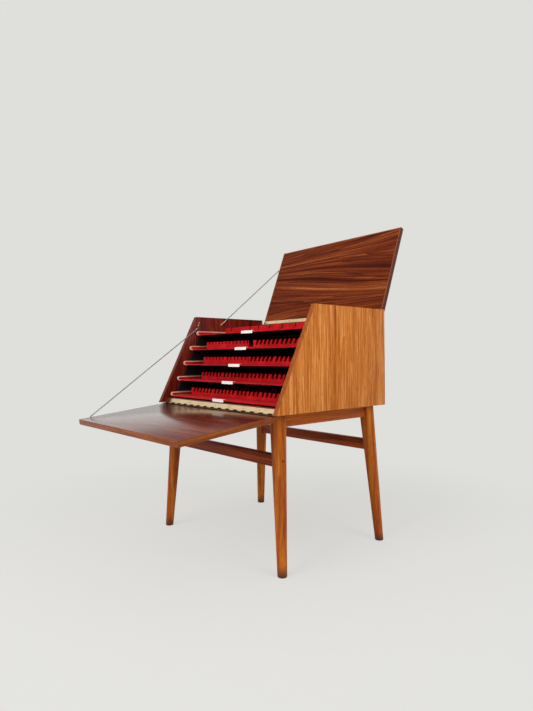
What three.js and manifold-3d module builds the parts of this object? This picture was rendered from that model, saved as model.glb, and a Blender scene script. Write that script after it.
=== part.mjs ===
// Flatware chest on a splayed stand: a case with a sloping front, five pull-out trays,
// a flap that drops open at the front and a lid that tips open at the top.
// Millimetres, +Z up. X runs to the right, Y to the back, and the front faces -Y.
import * as THREE from 'three';
import { mergeVertices } from 'three/addons/utils/BufferGeometryUtils.js';
import Module from 'manifold-3d';

const wasm = await Module();
wasm.setup();

// Case
const caseWidth = 600;
const caseDepth = 456;
const caseTopDepth = 310;
const caseHeight = 296;
const caseBottomZ = 420;
const boardThickness = 16;
const boardArris = 0.8;
const fit = 0.3;

// Flap and lid, opened as they stand
const flapThickness = 16;
const flapTopGap = 10.765;
const flapDroop = THREE.MathUtils.degToRad(6);
const lidThickness = 14;
const lidLip = 5;
const lidLean = THREE.MathUtils.degToRad(21);
const lidRecess = 1.5;
const lidSetback = 3;
const wingSideGap = 1;

// Piano hinges
const leafThickness = 1;
const leafParting = 0.2;
const flapLeafWidth = 15;
const lidLeafWidth = 13.5;
const knuckleRadius = 2.25;
const knuckleBore = 1.45;
const pinRadius = 1;
const knucklePitch = 28;
const knuckleGap = 0.4;
const knuckleRoom = 0.4;
const lidHingeOverhang = 3;
const pinSetback = 0.5;

// Trays
const trayCount = 5;
const trayLift = 3.5;
const trayHeadroom = 14;
const trayFloorThickness = 3;
const trayRearGap = 4;
const trayFrontGap = 4.5;
const traySideGap = 0.8;
const railHeight = 19;
const railThickness = 7;
const railRound = 6;
const railFrontGap = 2.5;
const railBandHeight = 5.5;
const railHookLength = 10;
const railRecessDepth = 1;
const railRecessFoot = 0.6;
const pullWidth = 62;
const pullThickness = 2.3;
const pullRise = 8.5;
const pullDrop = 3;
const pullFlange = 15;
const pullFlangeEdge = 1.5;
const pullRound = 1;

// Notched racks that hold the flatware
const rackEndGap = 20.2;
const rackHeight = 27;
const rackThickness = 4.5;
const rackSpacingShare = 0.484;
const notchPitch = 19;
const notchEase = 2;
const notchFoot = 1.2;
const wideNotch = 9;
const wideNotchDepth = 15;
const wideNotchSlant = 5;
const closeNotch = 6.5;
const closeNotchDepth = 11;
const plainNotch = 8;
const plainNotchDepth = 12;
const plainNotchSlant = 4;
const knifeNotch = 4;
const knifeNotchDepth = 15;
const knifeNotchSlant = 3;
const centreGapDepth = 22;
const secondCentreGap = 23;
const thirdCentreGap = 3;
const firstRackSetback = 108;
const secondRackSetback = 52;
const thirdRackSetback = 63;
const fourthRackSetback = 80;
const fifthRackSetback = 63;
const knifeNotchShares = [-0.88, -0.44, -0.26, -0.03, 0.21, 0.45, 0.69, 0.92];

// Side liners that carry the trays
const linerThickness = 4;
const linerSetback = 45;
const ledgeReach = 6.5;
const ledgeHeight = 5;
const ledgeRoot = 1;

// Stand
const legTop = 31.5;
const legTopRound = 5;
const legFoot = 23.5;
const legTopInset = 48;
const legFootInset = 15.7;
const frontLegTopY = 48;
const frontLegFootY = 30.2;
const rearLegTopInset = 35;
const rearLegFootInset = 15.3;
const legSteps = 6;
const apronHeight = 36.5;
const apronThickness = 20;
const stretcherHeight = 34;
const stretcherThickness = 20;
const stretcherDrop = 106;

// Stay wires and their studs, on the left side only
const stayRadius = 1;
const staySides = 8;
const flapStaySteps = 45;
const lidStaySteps = 35;
const flapStaySetback = 22.2;
const flapStayDrop = 42;
const flapStayInset = 36;
const lidStaySetback = 208;
const lidStayDrop = 26;
const lidStayInset = 82.4;
const studNeckRadius = 1.3;
const studHeadRadius = 2;
const studPlate = 0.6;
const studHead = 0.7;
const sideStudNeck = 2.8;
const flapStudNeck = 2.3;
const lidStudNeck = 5.7;
const studEdge = 2;
const stayEndGap = 3.4;
const catchLength = 16;
const catchThickness = 1.5;
const catchWidth = 3.8;
const catchGap = 0.5;
const catchTopGap = 3.5;

const roundSides = 8;
const cornerSteps = 3;

const slopeRun = caseDepth - caseTopDepth;
const slopeAngle = Math.atan2(caseHeight, slopeRun);
const slopeSin = Math.sin(slopeAngle);
const slopeCos = Math.cos(slopeAngle);
const innerHalf = caseWidth / 2 - boardThickness;
const wingHalf = innerHalf - wingSideGap;
const backInnerY = caseDepth - boardThickness;

// The wood of a wing starts this far from the plane in which its two leaves meet.
const leafStand = leafParting + leafThickness + fit;
const plateStart = knuckleRadius + fit;
const flapAxisY = (flapThickness + leafStand) / slopeSin;
const lidAxisY = caseDepth + lidHingeOverhang;
const lidAxisZ = caseHeight - lidRecess - lidThickness - leafStand;
const lidEnd = caseTopDepth + lidHingeOverhang + lidLip;
const flapEnd = (lidAxisZ + leafStand) / slopeSin - flapTopGap;

const trayPitch = (caseHeight - boardThickness - trayLift - trayHeadroom) / trayCount;
const railOuter = innerHalf - linerThickness - traySideGap;
const railInner = railOuter - railThickness;
const rackHalfWidth = railInner - rackEndGap;
const rackSpacing = caseTopDepth * rackSpacingShare;

const legTopX = caseWidth / 2 - legTopInset;
const legFootX = caseWidth / 2 - legFootInset;
const rearLegTopY = caseDepth - rearLegTopInset;
const rearLegFootY = caseDepth - rearLegFootInset;

const flapStayCaseZ = caseHeight - flapStayDrop;
const flapStayCaseY = slopeY(flapStayCaseZ) + flapStaySetback;
const flapStayReach = flapEnd - flapStayInset;
const lidStayCaseZ = caseHeight - lidStayDrop;
const lidStayCaseY = lidAxisY - lidStaySetback;
const lidStayReach = lidEnd - lidStayInset;

const orange = { color: '#c07c3c', roughness: 0.42, metalness: 0 };
const redBrown = { color: '#5c2416', roughness: 0.35, metalness: 0 };
const walnut = { color: '#74351c', roughness: 0.45, metalness: 0 };
const legWood = { color: '#9a5520', roughness: 0.45, metalness: 0 };
const railWood = { color: '#8a481c', roughness: 0.5, metalness: 0 };
const beech = { color: '#e0a888', roughness: 0.55, metalness: 0 };
const flock = { color: '#b4121c', roughness: 0.95, metalness: 0 };
const blackBoard = { color: '#101214', roughness: 0.8, metalness: 0 };
const brass = { color: '#d8c48c', roughness: 0.35, metalness: 1 };
const steel = { color: '#8c8e90', roughness: 0.35, metalness: 1 };
const whitePlastic = { color: '#f2efea', roughness: 0.4, metalness: 0 };

// Turns a shape drawn as (y, z) and extruded into one that runs along X.
const acrossX = new THREE.Matrix4().makeBasis(
  new THREE.Vector3(0, 1, 0),
  new THREE.Vector3(0, 0, 1),
  new THREE.Vector3(1, 0, 0),
);

function addPiece(parent, name, geometry, finish) {
  const piece = new THREE.Mesh(geometry, new THREE.MeshStandardMaterial(finish));
  piece.name = name;
  parent.add(piece);
}

function outline(points) {
  return new THREE.Shape(points.map(([a, b]) => new THREE.Vector2(a, b)));
}

// The part of the slope's line at a height above the case's bottom, measured in y.
function slopeY(height) {
  return height * slopeRun / caseHeight;
}

// An outline in (y, z) extruded along X from x0 to x1, its two end faces eased by a chamfer.
function extrudeBetween(shape, x0, x1, ease) {
  const geometry = new THREE.ExtrudeGeometry(shape, {
    depth: x1 - x0 - 2 * ease,
    bevelEnabled: ease > 0,
    bevelThickness: ease,
    bevelSize: ease,
    bevelOffset: -ease,
    bevelSegments: 1,
    curveSegments: cornerSteps,
  });
  geometry.applyMatrix4(acrossX);
  return geometry.translate(x0 + ease, 0, 0);
}

// A flat board with all its edges eased.
function board(x0, x1, y0, y1, z0, z1) {
  const ease = boardArris;
  const shape = outline([
    [y0 + ease, z0], [y1 - ease, z0], [y1, z0 + ease], [y1, z1 - ease],
    [y1 - ease, z1], [y0 + ease, z1], [y0, z1 - ease], [y0, z0 + ease],
  ]);
  return extrudeBetween(shape, x0, x1, ease);
}

function box(x0, x1, y0, y1, z0, z1) {
  return extrudeBetween(outline([[y0, z0], [y1, z0], [y1, z1], [y0, z1]]), x0, x1, 0);
}

// Joins and cuts need closed solids whose faces share their corners.
function toSolid(geometry) {
  const bare = geometry.clone();
  bare.deleteAttribute('normal');
  bare.deleteAttribute('uv');
  const merged = mergeVertices(bare);
  return new wasm.Manifold(new wasm.Mesh({
    numProp: 3,
    vertProperties: new Float32Array(merged.attributes.position.array),
    triVerts: new Uint32Array(merged.index.array),
  }));
}

function toGeometry(solid) {
  const mesh = solid.getMesh();
  const geometry = new THREE.BufferGeometry();
  geometry.setAttribute('position', new THREE.BufferAttribute(mesh.vertProperties, 3));
  geometry.setIndex(new THREE.BufferAttribute(mesh.triVerts, 1));
  geometry.computeVertexNormals();
  return geometry;
}

function join(geometries) {
  return toGeometry(geometries.map(toSolid).reduce((whole, solid) => whole.add(solid)));
}

function cut(geometry, tools) {
  return toGeometry(tools.map(toSolid).reduce((whole, tool) => whole.subtract(tool), toSolid(geometry)));
}

// A leg grows from a round foot to a rounded square at the case, leaning out in x and in y.
// Its local z runs from zero at the floor; grow makes the larger copy that cuts its neighbours.
function legGeometry(topX, topY, footX, footY, grow) {
  const half = legTop / 2;
  const straight = half - legTopRound;
  const section = new THREE.Shape();
  section.absarc(straight, straight, legTopRound, 0, Math.PI / 2);
  section.absarc(-straight, straight, legTopRound, Math.PI / 2, Math.PI);
  section.absarc(-straight, -straight, legTopRound, Math.PI, 3 * Math.PI / 2);
  section.absarc(straight, -straight, legTopRound, 3 * Math.PI / 2, 2 * Math.PI);
  const height = caseBottomZ - fit;
  const leg = new THREE.ExtrudeGeometry(section, {
    depth: height,
    steps: legSteps,
    bevelEnabled: false,
    curveSegments: cornerSteps,
  });
  const place = leg.attributes.position;
  for (let i = 0; i < place.count; i += 1) {
    const share = place.getZ(i) / height;
    const reach = Math.hypot(place.getX(i), place.getY(i));
    const size = THREE.MathUtils.lerp(legFoot / 2, reach, share) + grow;
    const centreX = THREE.MathUtils.lerp(footX, topX, share);
    const centreY = THREE.MathUtils.lerp(footY, topY, share);
    place.setX(i, centreX + place.getX(i) / reach * size);
    place.setY(i, centreY + place.getY(i) / reach * size);
  }
  leg.computeVertexNormals();
  return leg;
}

const legPlaces = [
  { name: 'leg_front_left', side: -1, topY: frontLegTopY, footY: frontLegFootY },
  { name: 'leg_front_right', side: 1, topY: frontLegTopY, footY: frontLegFootY },
  { name: 'leg_rear_left', side: -1, topY: rearLegTopY, footY: rearLegFootY },
  { name: 'leg_rear_right', side: 1, topY: rearLegTopY, footY: rearLegFootY },
];

function placedLeg({ side, topY, footY }, grow) {
  return legGeometry(side * legTopX, topY, side * legFootX, footY, grow);
}

// Aprons run under the case between the legs of one side, stretchers between left and right.
function addStand(stand) {
  for (const place of legPlaces) {
    addPiece(stand, place.name, placedLeg(place, 0), legWood);
  }
  const grownLegs = legPlaces.map((place) => placedLeg(place, fit));
  for (const [name, side] of [['apron_left', -1], ['apron_right', 1]]) {
    const inner = side * legTopX - apronThickness / 2;
    const top = caseBottomZ - fit;
    const bar = box(inner, inner + apronThickness, frontLegTopY, rearLegTopY, top - apronHeight, top);
    addPiece(stand, name, cut(bar, grownLegs), legWood);
  }
  const top = caseBottomZ - stretcherDrop;
  const share = (top - stretcherHeight / 2) / caseBottomZ;
  for (const [name, topY, footY] of [
    ['stretcher_front', frontLegTopY, frontLegFootY],
    ['stretcher_rear', rearLegTopY, rearLegFootY],
  ]) {
    const near = THREE.MathUtils.lerp(footY, topY, share) - stretcherThickness / 2;
    const bar = box(-legTopX, legTopX, near, near + stretcherThickness, top - stretcherHeight, top);
    addPiece(stand, name, cut(bar, grownLegs), railWood);
  }
}

// A place near the flap's axis, along the slope and behind the plane where its leaves meet.
function nearFlapAxis(along, behind) {
  return [flapAxisY + along * slopeCos + behind * slopeSin, along * slopeSin - behind * slopeCos];
}

function addCase(shell) {
  const side = outline([[0, 0], [caseDepth, 0], [caseDepth, caseHeight], [slopeRun, caseHeight]]);
  const half = caseWidth / 2;
  addPiece(shell, 'side_panel_left', extrudeBetween(side, -half, -innerHalf, boardArris), orange);
  addPiece(shell, 'side_panel_right', extrudeBetween(side, innerHalf, half, boardArris), orange);

  const room = knuckleRadius + knuckleRoom;
  const bevelTop = (boardThickness + leafStand * slopeCos) / slopeSin;
  const floor = outline([
    [flapAxisY + room, 0],
    [backInnerY - fit, 0],
    [backInnerY - fit, boardThickness],
    nearFlapAxis(bevelTop, leafStand),
    nearFlapAxis(room, leafStand),
  ]);
  const width = innerHalf - fit;
  addPiece(shell, 'bottom_panel', extrudeBetween(floor, -width, width, 0), redBrown);
  const back = board(-width, width, backInnerY, caseDepth, 0, lidAxisZ - leafStand);
  addPiece(shell, 'back_panel', back, walnut);
}

// A tray's bottom above the case's bottom; tray 1 is the top one.
function trayBottom(number) {
  return boardThickness + trayLift + trayPitch * (trayCount - number);
}

// A liner covers the side panel behind a line parallel to the slope, and has a ledge per tray.
function linerGeometry(side) {
  const rear = backInnerY - fit;
  const slab = (z0, z1, x0, x1) => {
    const shape = outline([
      [slopeY(z0) + linerSetback, z0], [rear, z0],
      [rear, z1], [slopeY(z1) + linerSetback, z1],
    ]);
    return extrudeBetween(shape, Math.min(side * x0, side * x1), Math.max(side * x0, side * x1), 0);
  };
  const bottom = boardThickness + fit;
  const linerInner = innerHalf - linerThickness;
  const pieces = [slab(bottom, trayBottom(1) - fit, linerInner, innerHalf - fit)];
  for (let number = 1; number <= trayCount; number += 1) {
    const top = trayBottom(number) - fit;
    const foot = Math.max(top - ledgeHeight, bottom);
    pieces.push(slab(foot, top, linerInner - ledgeReach, linerInner + ledgeRoot));
  }
  return join(pieces);
}

// One leaf of a piano hinge in the hinge's own frame: the pin runs along X through the origin,
// the leaf lies along +Y, and side says on which side of the parting plane it lies.
function leafGeometry(width, side, odd) {
  const count = 2 * Math.round(wingHalf / knucklePitch);
  const pitch = 2 * wingHalf / count;
  const near = side * leafParting;
  const far = side * (leafParting + leafThickness);
  const z0 = Math.min(near, far);
  const z1 = Math.max(near, far);
  const ring = new THREE.Shape();
  ring.absarc(0, 0, knuckleRadius, 0, 2 * Math.PI);
  const hole = new THREE.Path();
  hole.absarc(0, 0, knuckleBore, 0, 2 * Math.PI);
  ring.holes.push(hole);
  const pieces = [box(-wingHalf, wingHalf, plateStart, width, z0, z1)];
  const middle = (knuckleRadius + knuckleBore) / 2;
  for (let i = odd; i < count; i += 2) {
    const x0 = i * pitch - wingHalf + knuckleGap / 2;
    const x1 = x0 + pitch - knuckleGap;
    const knuckle = new THREE.ExtrudeGeometry(ring, {
      depth: x1 - x0,
      bevelEnabled: false,
      curveSegments: roundSides / 2,
    });
    pieces.push(knuckle.applyMatrix4(acrossX).translate(x0, 0, 0));
    pieces.push(box(x0, x1, middle, plateStart + fit, z0, z1));
  }
  return join(pieces);
}

function pinGeometry() {
  const pin = new THREE.CylinderGeometry(pinRadius, pinRadius, 2 * (wingHalf - pinSetback), roundSides);
  return pin.rotateZ(Math.PI / 2);
}

// A stud stands on z = 0 along +Z: a plate, a neck that the wire loops round, and a head.
function studGeometry(neck) {
  const top = studPlate + neck + studHead;
  const profile = [
    [0, 0], [studHeadRadius, 0], [studHeadRadius, studPlate], [studNeckRadius, studPlate],
    [studNeckRadius, studPlate + neck], [studHeadRadius, studPlate + neck],
    [studHeadRadius, top], [0, top],
  ];
  const points = profile.map(([r, z]) => new THREE.Vector2(r, z));
  return new THREE.LatheGeometry(points, roundSides).rotateX(Math.PI / 2);
}

// The top edge is banded in bare wood, as is the rounded front end; the flocked side is cut back.
function railGeometry(side, front, bottom) {
  const rear = backInnerY - trayRearGap;
  const top = bottom + railHeight;
  const body = new THREE.Shape();
  body.moveTo(rear, bottom);
  body.lineTo(rear, top);
  body.lineTo(front + railRound, top);
  body.absarc(front + railRound, top - railRound, railRound, Math.PI / 2, Math.PI);
  body.absarc(front + railRound, bottom + railRound, railRound, Math.PI, 3 * Math.PI / 2);
  const low = bottom + trayFloorThickness + railRecessFoot;
  const start = front + railRound;
  const recess = outline([
    [start + railHookLength - railRound, low],
    [rear - railRound, low],
    [rear - railRound, top - railBandHeight],
    [start + pullRound, top - railBandHeight],
    [start, top - railBandHeight - pullRound],
    [start, low + railHookLength - railRound],
  ]);
  const sorted = (a, b) => [Math.min(side * a, side * b), Math.max(side * a, side * b)];
  const [x0, x1] = sorted(railInner, railOuter);
  const [c0, c1] = sorted(railInner - fit, railInner + railRecessDepth);
  return cut(extrudeBetween(body, x0, x1, 0), [extrudeBetween(recess, c0, c1, 0)]);
}

// A pull hooks over the front edge of a tray's floor, its flange sloping down onto the floor.
function pullGeometry(front, bottom) {
  const face = front - fit - pullThickness;
  const seat = bottom + trayFloorThickness + fit;
  const shape = new THREE.Shape();
  shape.moveTo(front - fit, bottom - pullDrop);
  shape.lineTo(front - fit, seat);
  shape.lineTo(front + pullFlange, seat);
  shape.lineTo(front + pullFlange, seat + pullFlangeEdge);
  shape.lineTo(face + pullThickness, bottom + pullRise);
  shape.lineTo(face + pullRound, bottom + pullRise);
  shape.absarc(face + pullRound, bottom + pullRise - pullRound, pullRound, Math.PI / 2, Math.PI);
  shape.lineTo(face, bottom - pullDrop);
  return extrudeBetween(shape, -pullWidth / 2, pullWidth / 2, 0);
}

// The notches of one rack, from left to right. A group fills the room between two x values.
function notchGroup(x0, x1, width, depth, slant) {
  const tooth = notchPitch - width;
  const count = Math.floor((x1 - x0 - tooth) / notchPitch);
  const spare = x1 - x0 - tooth - count * notchPitch;
  const first = x0 + spare / 2 + tooth + width / 2;
  return Array.from({ length: count }, (_, i) => ({ centre: first + i * notchPitch, width, depth, slant }));
}

function splitNotches(gap) {
  return [
    ...notchGroup(-rackHalfWidth, -gap / 2, closeNotch, closeNotchDepth, 0),
    { centre: 0, width: gap, depth: centreGapDepth, slant: 0 },
    ...notchGroup(gap / 2, rackHalfWidth, wideNotch, wideNotchDepth, wideNotchSlant),
  ];
}

function plainNotches() {
  return notchGroup(-rackHalfWidth, rackHalfWidth, plainNotch, plainNotchDepth, plainNotchSlant);
}

function knifeNotches() {
  return knifeNotchShares.map((share) => ({
    centre: share * rackHalfWidth,
    width: knifeNotch,
    depth: knifeNotchDepth,
    slant: knifeNotchSlant,
  }));
}

// A rack is one board on edge. Its teeth have eased tops, and slant carries a notch's mouth to the right.
function rackGeometry(notches, front, bottom) {
  const top = rackHeight;
  const points = [[rackHalfWidth, 0], [-rackHalfWidth, 0], [-rackHalfWidth, top - notchEase]];
  points.push([-rackHalfWidth + notchEase, top]);
  for (const { centre, width, depth, slant } of notches) {
    const mouth = centre + slant / 2;
    const foot = centre - slant / 2;
    const half = width / 2;
    const ease = Math.min(notchEase, half);
    const corner = Math.min(notchFoot, half / 2);
    points.push([mouth - half - ease / 2, top], [mouth - half, top - ease]);
    points.push([foot - half + corner, top - depth], [foot + half - corner, top - depth]);
    points.push([mouth + half, top - ease], [mouth + half + ease / 2, top]);
  }
  points.push([rackHalfWidth - notchEase, top], [rackHalfWidth, top - notchEase]);
  const rack = new THREE.ExtrudeGeometry(outline(points.reverse()), {
    depth: rackThickness,
    bevelEnabled: false,
  });
  return rack.rotateX(Math.PI / 2).translate(0, front + rackThickness, bottom);
}

const trays = [
  { rackSetback: firstRackSetback, notches: knifeNotches() },
  { rackSetback: secondRackSetback, notches: splitNotches(secondCentreGap) },
  { rackSetback: thirdRackSetback, notches: splitNotches(thirdCentreGap) },
  { rackSetback: fourthRackSetback, notches: plainNotches() },
  { rackSetback: fifthRackSetback, notches: plainNotches() },
];

// The fronts of floor and rails keep clear of the closed flap's inner face.
function addTray(parent, number, { rackSetback, notches }) {
  const name = `tray_${number}`;
  const bottom = trayBottom(number);
  const flapInner = flapThickness / slopeSin;
  const front = slopeY(bottom + pullRise) + flapInner + trayFrontGap;
  const topCorner = bottom + railHeight - railRound;
  const railFront = flapInner - railRound + (topCorner * slopeCos + railRound + railFrontGap) / slopeSin;
  const half = railInner - fit;
  const rear = backInnerY - trayRearGap;
  const rackFoot = bottom + trayFloorThickness + fit;
  const rackFront = front + rackSetback;
  const floor = box(-half, half, front, rear, bottom, bottom + trayFloorThickness);
  addPiece(parent, `${name}_floor`, floor, flock);
  addPiece(parent, `${name}_rail_left`, railGeometry(-1, railFront, bottom), beech);
  addPiece(parent, `${name}_rail_right`, railGeometry(1, railFront, bottom), beech);
  addPiece(parent, `${name}_pull`, pullGeometry(front, bottom), whitePlastic);
  addPiece(parent, `${name}_rack_front`, rackGeometry(notches, rackFront, rackFoot), flock);
  addPiece(parent, `${name}_rack_rear`, rackGeometry(notches, rackFront + rackSpacing, rackFoot), flock);
}

// A stay is a straight wire that ends a short way from the two studs.
function stayGeometry(from, to, steps) {
  const along = to.clone().sub(from).normalize().multiplyScalar(stayEndGap);
  const path = new THREE.LineCurve3(from.clone().add(along), to.clone().sub(along));
  const section = new THREE.Shape();
  section.absarc(0, 0, stayRadius, 0, 2 * Math.PI);
  return new THREE.ExtrudeGeometry(section, {
    steps,
    extrudePath: path,
    bevelEnabled: false,
    curveSegments: staySides / 2,
  });
}

const chest = new THREE.Group();
const stand = new THREE.Group();
addStand(stand);
chest.add(stand);

const shell = new THREE.Group();
shell.position.z = caseBottomZ;
addCase(shell);
addPiece(shell, 'liner_left', linerGeometry(-1), blackBoard);
addPiece(shell, 'liner_right', linerGeometry(1), blackBoard);
trays.forEach((tray, i) => addTray(shell, i + 1, tray));
chest.add(shell);

// The flap's frame: Y runs from the axis to the free edge, and Z points out of its outer face.
const flap = new THREE.Group();
flap.position.set(0, flapAxisY, 0);
flap.rotation.x = Math.PI + flapDroop;
addPiece(flap, 'flap_board', board(
  -wingHalf, wingHalf, knuckleRadius + knuckleRoom, flapEnd, leafStand, leafStand + flapThickness,
), redBrown);
addPiece(flap, 'flap_hinge_moving_leaf', leafGeometry(flapLeafWidth, 1, 1), brass);
shell.add(flap);

// The same frame with the flap closed, for what stays on the case.
const flapSeat = new THREE.Group();
flapSeat.position.copy(flap.position);
flapSeat.rotation.x = slopeAngle;
addPiece(flapSeat, 'flap_hinge_case_leaf', leafGeometry(flapLeafWidth, -1, 0), brass);
addPiece(flapSeat, 'flap_hinge_pin', pinGeometry(), brass);
const catchTop = (lidAxisZ + leafStand - catchTopGap) / slopeSin;
addPiece(flapSeat, 'catch_plate', box(
  -innerHalf + fit, -innerHalf + fit + catchWidth,
  catchTop - catchLength, catchTop,
  leafStand - catchGap - catchThickness, leafStand - catchGap,
), brass);
shell.add(flapSeat);

// The lid's frame: Y runs from the axis to the free edge, and Z points out of its inner face.
const lid = new THREE.Group();
lid.position.set(0, lidAxisY, lidAxisZ);
lid.rotation.x = Math.PI / 2 - lidLean;
addPiece(lid, 'lid_board', board(
  -wingHalf, wingHalf, lidSetback, lidEnd, -leafStand - lidThickness, -leafStand,
), walnut);
addPiece(lid, 'lid_hinge_moving_leaf', leafGeometry(lidLeafWidth, -1, 1), brass);
shell.add(lid);

const lidSeat = new THREE.Group();
lidSeat.position.copy(lid.position);
lidSeat.rotation.x = Math.PI;
addPiece(lidSeat, 'lid_hinge_case_leaf', leafGeometry(lidLeafWidth, 1, 0), brass);
addPiece(lidSeat, 'lid_hinge_pin', pinGeometry(), brass);
shell.add(lidSeat);

// Studs: two on the left side panel, one on the flap and one on the lid.
const studX = -innerHalf + fit;
const wireX = studX + studPlate + sideStudNeck / 2;
for (const [name, y, z] of [
  ['flap_stay_case_stud', flapStayCaseY, flapStayCaseZ],
  ['lid_stay_case_stud', lidStayCaseY, lidStayCaseZ],
]) {
  addPiece(shell, name, studGeometry(sideStudNeck).rotateY(Math.PI / 2).translate(studX, y, z), steel);
}
const wingStudX = -wingHalf + studEdge;
const flapStud = studGeometry(flapStudNeck).rotateX(Math.PI);
addPiece(flap, 'flap_stay_flap_stud', flapStud.translate(wingStudX, flapStayReach, leafStand - fit), steel);
const lidStud = studGeometry(lidStudNeck);
addPiece(lid, 'lid_stay_lid_stud', lidStud.translate(wingStudX, lidStayReach, fit - leafStand), steel);

chest.updateMatrixWorld(true);
const flapNeck = leafStand - fit - studPlate - flapStudNeck / 2;
const lidNeck = fit - leafStand + studPlate + lidStudNeck / 2;
const flapEye = flap.localToWorld(new THREE.Vector3(wingStudX, flapStayReach, flapNeck));
const lidEye = lid.localToWorld(new THREE.Vector3(wingStudX, lidStayReach, lidNeck));
const flapCaseEye = shell.localToWorld(new THREE.Vector3(wireX, flapStayCaseY, flapStayCaseZ));
const lidCaseEye = shell.localToWorld(new THREE.Vector3(wireX, lidStayCaseY, lidStayCaseZ));
addPiece(chest, 'flap_stay_wire', stayGeometry(flapCaseEye, flapEye, flapStaySteps), steel);
addPiece(chest, 'lid_stay_wire', stayGeometry(lidCaseEye, lidEye, lidStaySteps), steel);

// The origin is on the floor, under the middle of the opened chest.
const whole = new THREE.Box3().setFromObject(chest, true);
chest.position.y = -whole.getCenter(new THREE.Vector3()).y;

export default chest;
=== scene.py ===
import math

import bmesh
import bpy
from mathutils import Euler, Matrix, Vector


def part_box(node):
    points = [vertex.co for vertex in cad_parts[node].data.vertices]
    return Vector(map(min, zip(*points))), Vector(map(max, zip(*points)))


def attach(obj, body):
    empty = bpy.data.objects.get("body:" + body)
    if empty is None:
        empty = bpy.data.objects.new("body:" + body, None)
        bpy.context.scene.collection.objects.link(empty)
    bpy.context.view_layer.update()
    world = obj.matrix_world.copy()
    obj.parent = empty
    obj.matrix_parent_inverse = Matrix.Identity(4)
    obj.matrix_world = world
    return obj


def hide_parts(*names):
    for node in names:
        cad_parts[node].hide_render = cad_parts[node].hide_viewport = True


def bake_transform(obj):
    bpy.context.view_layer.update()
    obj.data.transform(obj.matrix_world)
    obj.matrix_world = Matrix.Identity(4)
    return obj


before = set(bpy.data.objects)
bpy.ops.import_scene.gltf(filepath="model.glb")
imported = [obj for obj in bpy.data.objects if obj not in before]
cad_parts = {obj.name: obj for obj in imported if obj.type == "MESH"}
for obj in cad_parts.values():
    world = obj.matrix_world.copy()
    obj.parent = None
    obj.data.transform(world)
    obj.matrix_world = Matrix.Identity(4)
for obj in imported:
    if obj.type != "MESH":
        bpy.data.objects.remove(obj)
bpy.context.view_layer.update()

# The camera stands to the right of the opened chest, nearly level with its middle tray,
# as the picture was taken. All lengths here are metres, with +Z up and the front facing -Y.
camera = bpy.data.objects.new("camera", bpy.data.cameras.new("camera"))
camera.data.lens = 26.292
camera.data.sensor_width = 36
camera.data.clip_start = 0.01
camera_turn = (("Z", 49.018), ("X", 90.154), ("Z", -0.449))
camera.matrix_world = Matrix.Translation((1.279613, -1.036349, 0.571376))
for axis, degrees in camera_turn:
    camera.matrix_world = camera.matrix_world @ Matrix.Rotation(math.radians(degrees), 4, axis)
bpy.context.scene.collection.objects.link(camera)
bpy.context.scene.camera = camera


# Two stays hold the opened wings on the left side. Each is a thin steel cable with a loop crimped
# round a stud at both ends; the lid's has a long copper sleeve where it meets the case.
def colour(shade):
    """The linear colour of an sRGB hex value."""
    parts = [int(shade[i:i + 2], 16) / 255 for i in (1, 3, 5)]
    return (*(p / 12.92 if p <= 0.04045 else ((p + 0.055) / 1.055) ** 2.4 for p in parts), 1)


def node(tree, kind, inputs, stops=(), **settings):
    """Adds a shader node with its settings; an input is a value or another node's output."""
    made = tree.nodes.new("ShaderNode" + kind)
    for key, value in settings.items():
        setattr(made, key, value)
    for key, value in inputs.items():
        if isinstance(value, bpy.types.NodeSocket):
            tree.links.new(value, made.inputs[key])
        else:
            made.inputs[key].default_value = value
    if stops:
        ramp = made.color_ramp.elements
        ramp[0].position, ramp[1].position = stops[0][0], stops[-1][0]
        ramp[0].color, ramp[1].color = colour(stops[0][1]), colour(stops[-1][1])
        for position, shade in stops[1:-1]:
            ramp.new(position).color = colour(shade)
    return made


def material(name, base, roughness, **shader_inputs):
    """A named finish with its plain values set on the shader; its patterns are linked in later."""
    made = bpy.data.materials.new(name)
    made.use_nodes = True
    shader = made.node_tree.nodes["Principled BSDF"]
    shader.inputs["Base Color"].default_value = colour(base)
    shader.inputs["Roughness"].default_value = roughness
    for key, value in shader_inputs.items():
        shader.inputs[key.replace("_", " ")].default_value = value
    place = node(made.node_tree, "TexCoord", {}).outputs["Object"]
    return made, made.node_tree, shader, place


def tinted(tree, shader, pattern, stops):
    """Colours a finish by a pattern."""
    tint = node(tree, "ValToRGB", {"Fac": pattern}, stops=stops)
    tree.links.new(tint.outputs["Color"], shader.inputs["Base Color"])


def relief(tree, shader, height, strength, depth):
    """Bumps a finish by a pattern; depth is the real height of the pattern."""
    bump = node(tree, "Bump", {"Height": height, "Strength": strength, "Distance": depth})
    tree.links.new(bump.outputs["Normal"], shader.inputs["Normal"])


def make(name, bm, finishes, flat_from=0.0001, sharp=38):
    """Turns a bmesh into a piece. Faces larger than flat_from stay flat, and the rest are smooth."""
    mesh = bpy.data.meshes.new(name)
    for face in bm.faces:
        face.smooth = face.calc_area() < flat_from
    bm.to_mesh(mesh)
    bm.free()
    mesh.set_sharp_from_angle(angle=math.radians(sharp))
    for finish in finishes:
        mesh.materials.append(finish)
    made = bpy.data.objects.new(name, mesh)
    bpy.context.scene.collection.objects.link(made)
    return made


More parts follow.
